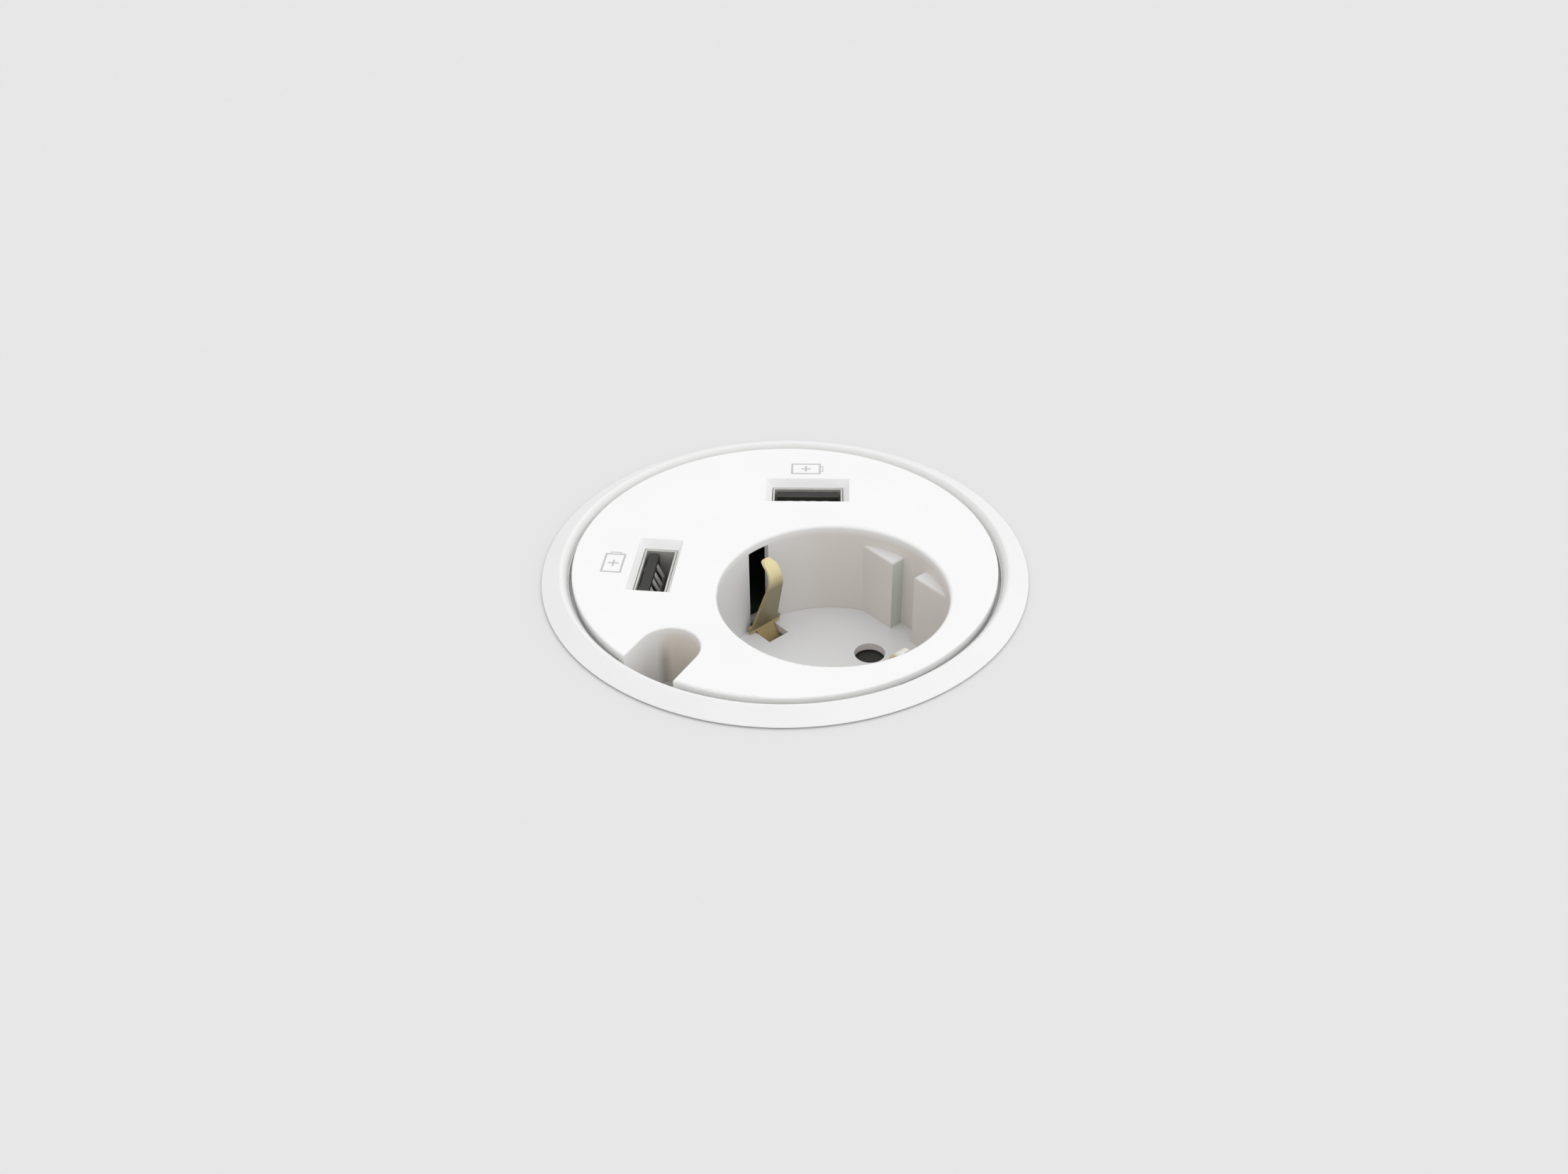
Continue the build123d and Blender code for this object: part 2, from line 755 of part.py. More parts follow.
def rear_housing():
    body = ring(skirt_r, housing_inner_r, -housing_depth, housing_top)
    body += cyl(skirt_r, -housing_depth, housing_floor_top)
    lip_r = skirt_bore_r - lip_slack
    lip_low = housing_top - lip_height
    lip = ring(lip_r, lip_r - lip_wall, lip_low, housing_top + lip_height)
    body += lip - cyl(cup_r + lip_cup_gap, lip_low, housing_top + lip_height, recess)
    tube = channel_body(channel_r + channel_wall, -housing_depth, housing_top)
    body += tube & cyl(skirt_r, -housing_depth, housing_top)
    for place in post_places():
        body += cyl(boss_r, -housing_depth, boss_top, place) & cyl(skirt_r, -housing_depth, boss_top)
    tube_slack = channel_r + channel_wall + lip_slack
    body -= channel_body(tube_slack, housing_top, housing_top + lip_height)
    body -= channel_body(channel_r, -housing_depth, housing_top)
    for place in post_places():
        body -= cyl(housing_screw_r + screw_slack, -housing_depth, boss_top, place)
        sink_high = housing_screw_sink - housing_depth
        body -= cyl(housing_screw_head_r + screw_slack, -housing_depth, sink_high, place)
    for angle in nose_angles:
        cut = Rot(0, 0, angle) * Pos(lip_r, 0, 0)
        body -= cut * block(4 * lip_wall, nose_width + 3 * tongue_slit, housing_top, housing_top + lip_height)
    hole_length = inlet_length + 2 * inlet_fit
    hole_width = inlet_width + 2 * inlet_fit
    return body - block(hole_length, hole_width, -housing_depth, housing_floor_top, (0, inlet_y))


def port_shell():
    """The folded metal shell of one port, with two spring fingers in each broad side."""
    body = block(shell_length, shell_width, board_top, shell_top)
    body -= block(shell_inner_length, shell_inner_width, board_top, shell_top)
    wall_y = (shell_width - shell_wall) / 2
    finger_top = shell_top - finger_drop
    finger_low = finger_top - finger_length
    for side in (-1, 1):
        for x in (-finger_offset, finger_offset):
            window = finger_width + 2 * finger_slit
            body -= block(window, 2 * shell_wall, finger_low, finger_top, (x, side * wall_y))
            finger = block(finger_width, shell_wall, 0, finger_length - finger_slit)
            body += Pos(x, side * wall_y, finger_low) * Rot(side * finger_leans[side], 0, 0) * finger
        leg_x = side * (shell_length - shell_wall) / 2
        body += block(shell_wall, shell_leg_width, board_top - shell_leg_length, board_top, (leg_x, 0))
    return body


def port_tongue():
    """The moulded tongue and base inside one port."""
    base_length = shell_inner_length - 2 * port_base_slack
    base_width = shell_inner_width - 2 * port_base_slack
    body = block(base_length, base_width, board_top, board_top + port_base_height)
    tongue_top_z = plate_top - tongue_drop
    body += block(tongue_length, tongue_thickness, board_top, tongue_top_z, (0, tongue_offset))
    for x in port_contact_places:
        body -= port_contact(x, port_contact_slack=0.05)
    return body


def port_contact(x, port_contact_slack=0.0):
    """One bowed contact on the inner side of the tongue, with its pin through the board."""
    face_y = tongue_offset - tongue_thickness / 2
    foot_z = board_top + port_base_height
    tip_z = plate_top - tongue_drop - 1.0
    bow_z = tip_z - 2.5
    line = FilletPolyline(
        (face_y, board_top - shell_leg_length),
        (face_y, foot_z + 0.5),
        (face_y - port_contact_bow, bow_z),
        (face_y + 0.1, tip_z),
        radius=[1.0, 0.8],
    )
    thickness = port_contact_thickness / 2 + port_contact_slack
    strip = make_face(offset(line, thickness, kind=Kind.ARC, side=Side.BOTH, closed=True))
    width = port_contact_width / 2 + port_contact_slack
    return Pos(x, 0, 0) * extrude(Plane.YZ * strip, width, both=True)


def charger_board():
    body = cyl(board_r, board_bottom, board_top)
    body -= block(4 * board_r, 2 * board_r, board_bottom, board_top, (0, board_low_y - board_r))
    body -= cyl(cup_r + board_cup_gap, board_bottom, board_top, recess)
    for place in post_places():
        body -= cyl(post_r + board_hole_slack, board_bottom, board_top, place)
    for place in standoffs:
        body -= cyl(board_screw_r + board_hole_slack, board_bottom, board_top, place)
    for side in (-1, 1):
        holes = Part()
        for leg in (-1, 1):
            leg_x = leg * (shell_length - shell_wall) / 2
            slot_length = shell_wall + 2 * shell_leg_slack
            slot_width = shell_leg_width + 2 * shell_leg_slack
            holes += block(slot_length, slot_width, board_bottom, board_top, (leg_x, 0))
        for x in port_contact_places:
            hole_y = tongue_offset - tongue_thickness / 2
            holes += cyl(port_contact_width / 2 + 0.15, board_bottom, board_top, (x, hole_y))
        body -= port_place(side) * holes
    return body


def transformer_core_body():
    length, width, height = transformer_core
    at = (0, transformer_y)
    low = board_bottom - height
    body = block(length, width, low, board_bottom, at)
    window = block(length - 2 * core_limb, width + 2, low + core_limb, board_bottom - core_limb, at)
    centre = rod_limb()
    return body - (window - centre)


def rod_limb():
    length, width, height = transformer_core
    return block(core_limb * 1.6, width, board_bottom - height, board_bottom, (0, transformer_y))


def transformer_winding():
    length, width, height = transformer_core
    low = board_bottom - height + core_limb + 0.1
    high = board_bottom - core_limb - 0.1
    coil = block(2 * winding_r, width + 1.6, low, high, (0, transformer_y))
    coil = fillet(coil.edges().filter_by(Axis.Z), 1.5)
    return coil - block(core_limb * 1.6 + 0.2, width + 0.2, low, high, (0, transformer_y))


def capacitor(side):
    at = (side * capacitor_x, capacitor_y)
    low = board_bottom - capacitor_height
    body = cyl(capacitor_r, low, board_bottom, at)
    groove = ring(capacitor_r + 1, capacitor_r - capacitor_groove, board_bottom - 2.2, board_bottom - 1.4, at)
    return body - groove


def inductor(side):
    at = (side * inductor_x, inductor_y)
    low = board_bottom - inductor_height
    waist = ring(inductor_r + 1, inductor_r - 0.5, low + 1, board_bottom - 1, at)
    return cyl(inductor_r, low, board_bottom, at) - waist


def board_fuse():
    z = board_bottom - fuse_r
    body = rod_x(fuse_r - 0.25, -fuse_length / 2, fuse_length / 2, fuse_y, z)
    for side in (-1, 1):
        ends = sorted((side * fuse_length / 2, side * (fuse_length / 2 - fuse_cap)))
        body += rod_x(fuse_r, ends[0], ends[1], fuse_y, z)
    return body


def charger_chip(side):
    length, width, height = chip_size
    at = (side * chip_x, chip_y)
    body = block(length, width, board_bottom - height, board_bottom - 0.1, at)
    for x in (-1.9, -0.63, 0.63, 1.9):
        lead_at = (at[0] + x, chip_y)
        body += block(chip_lead, width + 2, board_bottom - 0.4, board_bottom, lead_at)
    return body


def inlet_shroud():
    body = block(inlet_length, inlet_width, inlet_bottom, inlet_top, (0, inlet_y))
    flange_high = housing_floor_top + inlet_flange
    flange_length = inlet_length + 2 * inlet_flange_overhang
    flange_width = inlet_width + 2 * inlet_flange_overhang
    body += block(flange_length, flange_width, housing_floor_top, flange_high, (0, inlet_y))
    inner_length = inlet_length - 2 * inlet_wall
    inner_width = inlet_width - 2 * inlet_wall
    recess_high = inlet_top - inlet_back
    body -= block(inner_length, inner_width, inlet_bottom, recess_high, (0, inlet_y))
    for x in inlet_pin_places():
        body -= cyl(inlet_pin_r + 0.05, recess_high, inlet_top, (x, inlet_y))
    return body


def inlet_pin_places():
    return (-inlet_pin_spacing, 0, inlet_pin_spacing)


def inlet_pin(x):
    low = inlet_bottom + inlet_pin_setback
    body = cyl(inlet_pin_r, low, inlet_top, (x, inlet_y))
    return body + block(inlet_tab[0], inlet_tab[1], inlet_top, inlet_top + inlet_tab[2], (x, inlet_y))


def mains_wire(pin_place, wire_x, terminal_x):
    """An insulated wire from an inlet tab to its terminal, bared where the screw grips it."""
    end_y = recess_y + terminal_length / 2
    path = FilletPolyline(
        (wire_x, inlet_y, wire_high_z - wire_rise),
        (wire_x, inlet_y, wire_high_z),
        (wire_x, wire_drop_y, wire_high_z),
        (terminal_x, wire_drop_y, wire_low_z),
        (terminal_x, end_y, wire_low_z),
        radius=wire_bend_r,
    )
    section = Plane(path @ 0, z_dir=path % 0) * Circle(wire_r)
    body = sweep(section, path=path)
    return body + rod_y(conductor_r, end_y - terminal_length / 2 - wire_strip / 2, end_y, terminal_x, wire_low_z)


def board_wire(side):
    at = (side * (inlet_pin_spacing + wire_offset), inlet_y)
    return cyl(wire_r, inlet_top + inlet_tab[2], board_bottom, at)


def group(shapes):
    return Compound(children=[solid for shape in shapes for solid in shape.solids()])


def front_half(shape):
    """Turns a piece made on the +Y side of the recess round to its -Y side."""
    return Rot(0, 0, 180) * shape


terminal_places = {"live": -pin_x, "earth": 0, "neutral": pin_x}
wire_starts = {"live": wire_offset - inlet_pin_spacing, "earth": 0, "neutral": inlet_pin_spacing - wire_offset}
clip = earth_clip()
shell = port_shell()
tongue = port_tongue()
port_contacts = group([port_contact(x) for x in port_contact_places])

pieces = {
    "mounting_collar": mounting_collar(),
    "flange_gasket": flange_gasket(),
    "clamp_washer": clamp_washer(),
    "lock_nut": lock_nut(),
    "face_plate": face_plate(),
    "socket_floor": socket_floor(),
    "rear_housing": rear_housing(),
    "housing_screws": group([housing_screw(place) for place in post_places()]),
    "shutter_rotor": shutter_rotor(),
    "shutter_spring": shutter_spring(),
    "contact_carrier": contact_carrier(),
    "carrier_screws": group([carrier_screw(place) for place in ear_places()]),
    "live_contact": pin_contact(-1),
    "neutral_contact": pin_contact(1),
    "earth_strap": earth_strap(),
    "earth_clip_rear": Pos(0, recess_y, 0) * clip,
    "earth_clip_front": Pos(0, recess_y, 0) * front_half(clip),
    "terminal_screws": group([terminal_screw(x) for x in terminal_places.values()]),
    "charger_board": charger_board(),
    "board_screws": group([board_screw(place) for place in standoffs]),
    "transformer_core": transformer_core_body(),
    "transformer_winding": transformer_winding(),
    "board_capacitors": group([capacitor(side) for side in (-1, 1)]),
    "board_inductors": group([inductor(side) for side in (-1, 1)]),
    "board_fuse": board_fuse(),
    "charger_chips": group([charger_chip(side) for side in (-1, 1)]),
    "inlet_shroud": inlet_shroud(),
    "inlet_pins": group([inlet_pin(x) for x in inlet_pin_places()]),
    "board_wires": group([board_wire(side) for side in (-1, 1)]),
}
for pole, x in terminal_places.items():
    pieces[pole + "_terminal"] = terminal(x)
    pieces[pole + "_wire"] = mains_wire(pole, wire_starts[pole], x)
for side, name in ((-1, "left"), (1, "right")):
    pieces["usb_shell_" + name] = port_place(side) * shell
    pieces["usb_tongue_" + name] = port_place(side) * tongue
    pieces["usb_contacts_" + name] = port_place(side) * port_contacts

for name, shape in pieces.items():
    export_step(shape, "parts/" + name + ".step")
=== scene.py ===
import bpy
import bmesh
import json
import math
from mathutils import Matrix, Vector


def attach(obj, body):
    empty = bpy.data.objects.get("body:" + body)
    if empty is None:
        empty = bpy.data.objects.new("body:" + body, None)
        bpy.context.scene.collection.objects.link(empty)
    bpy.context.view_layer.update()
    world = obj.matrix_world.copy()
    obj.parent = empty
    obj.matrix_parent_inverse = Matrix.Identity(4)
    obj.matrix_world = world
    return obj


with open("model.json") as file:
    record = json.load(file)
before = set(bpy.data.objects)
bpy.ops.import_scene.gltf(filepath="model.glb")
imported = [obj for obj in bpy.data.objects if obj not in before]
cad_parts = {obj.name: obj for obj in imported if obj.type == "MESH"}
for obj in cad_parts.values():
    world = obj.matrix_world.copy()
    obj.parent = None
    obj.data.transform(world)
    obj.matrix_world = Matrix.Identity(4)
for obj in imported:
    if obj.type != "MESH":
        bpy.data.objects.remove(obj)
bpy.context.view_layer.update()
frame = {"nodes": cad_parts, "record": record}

# Lengths are in metres unless a name ends in _MM. The desk surface is z = 0.
# Where a painted tone of light or shade changes over a piece, a pair of values says where it begins and
# where it is full.
# FACES_UP, GUIDE_FLANK, FLOOR_EDGE and CLIP_UNDERSIDE are such pairs for the surface's normal.

# Camera
CAMERA_PLACE = Vector((-0.15489, -0.17913, 0.17103))
CAMERA_TARGET = Vector((-0.00405, -0.00438, 0.00023))
CAMERA_LENS_MM = 36.81
CAMERA_SENSOR_MM = 36.0
CAMERA_ROLL = math.radians(-0.55)
CAMERA_CLIP = (0.01, 50)

# Desk and sky
DESK_RADIUS = 0.300
DESK_HOLE_RADIUS = 0.0400
DESK_SHEET = 0.0004
DESK_STEPS = 256
DESK_TONE = 0.764
DESK_ROUGHNESS = 0.9
BACKGROUND = 0.795
SKY_LOW = 0.72
SKY_HIGH = 1.34
SKY_POWER = 1.5
SKY_LEAN = Vector((0.27, -0.32, 0.91)).normalized()

# Finish of plastic and metal
SMOOTH_ANGLE = math.radians(28)
PLASTIC_IOR = 1.47
PLASTIC_PATCHES = 60
PLASTIC_GLOSS = (-0.05, 0.07)
PLASTIC_GRAIN = 0.25
COARSE_GRAIN = {"grain": 1500, "depth": 0.00003}
METAL_PATCHES = 220
METAL_SHADE = 0.84
METAL_GLOSS = (-0.08, 0.14)
METAL_STREAK_SCALE = 900
METAL_STREAKS = 0.2
METAL_STREAK_DEPTH = 0.00001

# Painted shade on the recess wall and plug guides
RECESS_Y = -0.013
RECESS_RADIUS = 0.0207
RECESS_RIM = 0.0005
RECESS_SHADE_RISE = 0.0012
DEEP_SHADE = (0.0004, -0.0012)
COOL_SHADE_SIDE = (0.013, 0.001)
FACES_UP = (0.5, 0.9)
GUIDE_X = (0.0125, 0.0135)
GUIDE_FLANK = (-0.90, -0.97)

# Painted shade in the cable notch
NOTCH_X = (-0.0250, -0.0258)
NOTCH_RIM = (0.0374, 0.0366)
NOTCH_ACROSS = Vector((0.755, -0.656, 0))
NOTCH_COOL_SHADE_SIDE = (-0.0201, -0.0222)
NOTCH_SHADOW_STREAK = -0.0210
NOTCH_SHADOW_REACH = (0.0013, 0.0002)
NOTCH_SHADOW_DEPTH = (-0.0005, -0.0050)

# Painted shade on the rim of the plate and the crest of the collar, painted light on the edges of the
# floor, painted shade and highlights on the earth clips
PLATE_SIDE_RADIUS = (0.0384, 0.0385)
PLATE_SIDE_SHADE = (0.0017, 0.0005)
LIP_RADIUS = (0.0404, 0.0397)
LIP_HEIGHT = (0.0004, 0.0006)
FLOOR_EDGE = (0.7, 0.4)
CLIP_UNDERSIDE = (0.54, -0.34)
CLIP_CROWN_HIGHLIGHT = (-0.0058, -0.0030)
CLIP_GLINT = (-0.0017, -0.0012)
FRONT_CLIP = (-0.020, -0.026)

# Printed marks
PLATE_TOP = 0.002
INK_HEIGHT = 0.00002
INK_LINE = 0.00034
MARK_LENGTH = 0.0058
MARK_WIDTH = 0.0038
MARK_NUB_LENGTH = 0.0005
MARK_NUB_WIDTH = 0.0021
MARK_NUB_LINE = 0.0002
MARK_PLUS = 0.0019
# Each mark's x, y and turn in degrees
MARKS = {
    "charge_mark_left": (-0.02385, 0.01996, 42.6),
    "charge_mark_right": (0.02333, 0.02036, -42.6),
}


def new_material(name):
    material = bpy.data.materials.new(name)
    material.use_nodes = True
    shader = material.node_tree.nodes["Principled BSDF"]
    return material, material.node_tree.nodes, material.node_tree.links, shader


def noise_node(nodes, links, scale, detail=3.0, roughness=0.55, stretch=(1, 1, 1)):
    place = nodes.new("ShaderNodeTexCoord")
    mapping = nodes.new("ShaderNodeMapping")
    mapping.inputs["Scale"].default_value = stretch
    links.new(place.outputs["Object"], mapping.inputs["Vector"])
    noise = nodes.new("ShaderNodeTexNoise")
    noise.inputs["Scale"].default_value = scale
    noise.inputs["Detail"].default_value = detail
    noise.inputs["Roughness"].default_value = roughness
    links.new(mapping.outputs["Vector"], noise.inputs["Vector"])
    return noise.outputs["Fac"]


def ramp_node(nodes, links, source, low, high, start=0.35, end=0.65):
    ramp = nodes.new("ShaderNodeValToRGB")
    ramp.color_ramp.elements[0].position = start
    ramp.color_ramp.elements[0].color = (*low, 1)
    ramp.color_ramp.elements[1].position = end
    ramp.color_ramp.elements[1].color = (*high, 1)
    links.new(source, ramp.inputs["Fac"])
    return ramp.outputs["Color"]


def range_node(nodes, links, source, low, high):
    """Spreads a 0 to 1 value over low to high."""
    spread = nodes.new("ShaderNodeMapRange")
    spread.inputs["To Min"].default_value = low
    spread.inputs["To Max"].default_value = high
    links.new(source, spread.inputs["Value"])
    return spread.outputs["Result"]


def bump_node(nodes, links, shader, height, strength, distance):
    bump = nodes.new("ShaderNodeBump")
    bump.inputs["Strength"].default_value = strength
    bump.inputs["Distance"].default_value = distance
    links.new(height, bump.inputs["Height"])
    links.new(bump.outputs["Normal"], shader.inputs["Normal"])


def between(nodes, links, source, first, last):
    """Turns a value into 0 at first and 1 at last."""
    share = nodes.new("ShaderNodeMapRange")
    share.inputs["From Min"].default_value = first
    share.inputs["From Max"].default_value = last
    links.new(source, share.inputs["Value"])
    return share.outputs["Result"]


def combine(nodes, links, operation, *values):
    """Joins values, each a fixed one or another node's output, by one operation."""
    node = nodes.new("ShaderNodeMath")
    node.operation = operation
    for socket, value in zip(node.inputs, values):
        if isinstance(value, (int, float)):
            socket.default_value = value
        else:
            links.new(value, socket)
    return node.outputs["Value"]


def colour_mix(nodes, links, share, first, last):
    """Mixes two colours, each a fixed one or another node's output."""
    mix = nodes.new("ShaderNodeMix")
    mix.data_type = "RGBA"
    links.new(share, mix.inputs["Factor"])
    for socket, colour in ((mix.inputs["A"], first), (mix.inputs["B"], last)):
        if isinstance(colour, tuple):
            socket.default_value = (*colour, 1)
        else:
            links.new(colour, socket)
    return mix.outputs["Result"]


def place_parts(nodes, links, output="Object"):
    """Splits a place or a normal on the part into X, Y and Z."""
    place = nodes.new("ShaderNodeTexCoord")
    split = nodes.new("ShaderNodeSeparateXYZ")
    links.new(place.outputs[output], split.inputs["Vector"])
    return split.outputs


def along(nodes, links, output, direction):
    """How far a place or a look reaches along a direction."""
    node = nodes.new("ShaderNodeVectorMath")
    node.operation = "DOT_PRODUCT"
    node.inputs[1].default_value = direction
    links.new(nodes.new("ShaderNodeTexCoord").outputs[output], node.inputs[0])
    return node.outputs["Value"]


def axis_distance(nodes, links, centre_y):
    """How far a place on the part lies from an upright axis through (0, centre_y)."""
    place = place_parts(nodes, links)
    flat = nodes.new("ShaderNodeCombineXYZ")
    links.new(place["X"], flat.inputs["X"])
    links.new(place["Y"], flat.inputs["Y"])
    distance = nodes.new("ShaderNodeVectorMath")
    distance.operation = "DISTANCE"
    distance.inputs[1].default_value = (0, centre_y, 0)
    links.new(flat.outputs["Vector"], distance.inputs[0])
    return distance.outputs["Value"]


def moulded_plastic(name, colour, roughness, mottle=0.012, grain=2600, depth=0.00001):
    """Moulded plastic: faint colour mottling, uneven gloss and a fine spark-eroded grain."""
    material, nodes, links, shader = new_material(name)
    patches = noise_node(nodes, links, PLASTIC_PATCHES, detail=4.0)
    darker = tuple(max(0.0, channel - mottle) for channel in colour)
    lighter = tuple(min(1.0, channel + mottle / 2) for channel in colour)
    links.new(ramp_node(nodes, links, patches, darker, lighter), shader.inputs["Base Color"])
    glossier, duller = PLASTIC_GLOSS
    gloss = range_node(nodes, links, patches, roughness + glossier, roughness + duller)
    links.new(gloss, shader.inputs["Roughness"])
    shader.inputs["IOR"].default_value = PLASTIC_IOR
    bump_node(nodes, links, shader, noise_node(nodes, links, grain, detail=2.0), PLASTIC_GRAIN, depth)
    return material


def rolled_metal(name, colour, roughness, stretch=(1, 1, 12), metallic=1.0):
    """Rolled or plated metal with drawn-out streaks in its gloss."""
    material, nodes, links, shader = new_material(name)
    streaks = noise_node(nodes, links, METAL_STREAK_SCALE, roughness=0.6, stretch=stretch)
    patches = noise_node(nodes, links, METAL_PATCHES)
    darker = tuple(channel * METAL_SHADE for channel in colour)
    ramp = ramp_node(nodes, links, patches, darker, colour, start=0.3, end=0.6)
    links.new(ramp, shader.inputs["Base Color"])
    glossier, duller = METAL_GLOSS
    gloss = range_node(nodes, links, streaks, roughness + glossier, roughness + duller)
    links.new(gloss, shader.inputs["Roughness"])
    shader.inputs["Metallic"].default_value = metallic
    bump_node(nodes, links, shader, streaks, METAL_STREAKS, METAL_STREAK_DEPTH)
    return material


def retone(material, share, colour):
    """Mixes a further colour into a material, by a share."""
    nodes, links = material.node_tree.nodes, material.node_tree.links
    base = nodes["Principled BSDF"].inputs["Base Color"]
    under = base.links[0].from_socket
    links.new(colour_mix(nodes, links, share, under, colour), base)


def notch_painted_shade(nodes, links, place, warm_shade, cool_shade, shadow_streak):
    """Painted shade in the cable notch: cool on one side, warm on the other and a dark streak of painted
    shadow between.
    """
    spot = along(nodes, links, "Object", NOTCH_ACROSS)
    sides = colour_mix(nodes, links, between(nodes, links, spot, *NOTCH_COOL_SHADE_SIDE), warm_shade, cool_shade)
    from_streak = combine(nodes, links, "ABSOLUTE", combine(nodes, links, "SUBTRACT", spot, NOTCH_SHADOW_STREAK))
    near = between(nodes, links, from_streak, *NOTCH_SHADOW_REACH)
    deeper = between(nodes, links, place["Z"], *NOTCH_SHADOW_DEPTH)
    return colour_mix(nodes, links, combine(nodes, links, "MULTIPLY", near, deeper), sides, shadow_streak)


def plate_plastic(name, colour, cool_recess_shade, warm_recess_shade, shade_facing_up, guide_flank_shade, notch, side, **finish):
    """Moulded plastic with painted shade: darker below the plate's surface, cooler beside the rear clip,
    and darker on the guide flanks, in the notch and on the rim's side.
    """
    material = moulded_plastic(name, colour, **finish)
    nodes, links = material.node_tree.nodes, material.node_tree.links
    place = place_parts(nodes, links)
    facing = place_parts(nodes, links, "Normal")
    from_recess = axis_distance(nodes, links, RECESS_Y)
    from_middle = axis_distance(nodes, links, 0)
    # Where the recess and the notch are, and how deep a place lies in them
    inside = between(nodes, links, from_recess, RECESS_RADIUS + RECESS_RIM, RECESS_RADIUS)
    notch_side = between(nodes, links, place["X"], *NOTCH_X)
    in_notch = combine(nodes, links, "MULTIPLY", notch_side, between(nodes, links, from_middle, *NOTCH_RIM))
    hollow = combine(nodes, links, "MAXIMUM", inside, in_notch)
    height = combine(nodes, links, "MULTIPLY_ADD", hollow, -RECESS_SHADE_RISE, place["Z"])
    below = between(nodes, links, height, *DEEP_SHADE)
    depth = combine(nodes, links, "MULTIPLY", below, combine(nodes, links, "MAXIMUM", inside, notch_side))
    # Painted shade on the recess wall and the flanks of its guides
    cool_shade = combine(nodes, links, "MULTIPLY", inside, between(nodes, links, place["X"], *COOL_SHADE_SIDE))
    painted_shade = colour_mix(nodes, links, cool_shade, warm_recess_shade, cool_recess_shade)
    flank_shade = combine(nodes, links, "MULTIPLY", inside, between(nodes, links, facing["Y"], *GUIDE_FLANK))
    flank_shade = combine(nodes, links, "MULTIPLY", flank_shade, between(nodes, links, place["X"], *GUIDE_X))
    painted_shade = colour_mix(nodes, links, flank_shade, painted_shade, guide_flank_shade)
    # Painted shade in the notch, and on whatever faces up below the surface
    painted_shade = colour_mix(nodes, links, notch_side, painted_shade, notch_painted_shade(nodes, links, place, **notch))
    faces_up = between(nodes, links, facing["Z"], *FACES_UP)
    retone(material, depth, colour_mix(nodes, links, faces_up, painted_shade, shade_facing_up))
    # Painted shade on the side of the plate's rim
    at_side = between(nodes, links, from_middle, *PLATE_SIDE_RADIUS)
    side_shade_depth = between(nodes, links, place["Z"], *PLATE_SIDE_SHADE)
    retone(material, combine(nodes, links, "MULTIPLY", at_side, side_shade_depth), side)
    return material


def collar_plastic(name, colour, lip_shade, **finish):
    """Moulded plastic with painted shade, a little darker, on the slope inside the collar's crest."""
    material = moulded_plastic(name, colour, **finish)
    nodes, links = material.node_tree.nodes, material.node_tree.links
    inside = between(nodes, links, axis_distance(nodes, links, 0), *LIP_RADIUS)
    above = between(nodes, links, place_parts(nodes, links)["Z"], *LIP_HEIGHT)
    retone(material, combine(nodes, links, "MULTIPLY", inside, above), lip_shade)
    return material


def floor_plastic(name, colour, lit_edge_colour, **finish):
    """Moulded plastic with painted light: lighter on the thin edges of its holes."""
    material = moulded_plastic(name, colour, **finish)
    nodes, links = material.node_tree.nodes, material.node_tree.links
    upright = combine(nodes, links, "ABSOLUTE", place_parts(nodes, links, "Normal")["Z"])
    retone(material, between(nodes, links, upright, *FLOOR_EDGE), lit_edge_colour)
    return material


def spring_brass(name, underside_shade, level, crown_highlight, glint, **finish):
    """Satin brass with painted shade where it faces down, a painted highlight on the crown and a brighter
    painted glint on top of the front clip.
    """
    material = rolled_metal(name, level, **finish)
    nodes, links = material.node_tree.nodes, material.node_tree.links
    place = place_parts(nodes, links)
    facing = place_parts(nodes, links, "Normal")
    retone(material, between(nodes, links, facing["Z"], *CLIP_UNDERSIDE), underside_shade)
    retone(material, between(nodes, links, place["Z"], *CLIP_CROWN_HIGHLIGHT), crown_highlight)
    front = between(nodes, links, place["Y"], *FRONT_CLIP)
    top = between(nodes, links, place["Z"], *CLIP_GLINT)
    retone(material, combine(nodes, links, "MULTIPLY", front, top), glint)
    return material


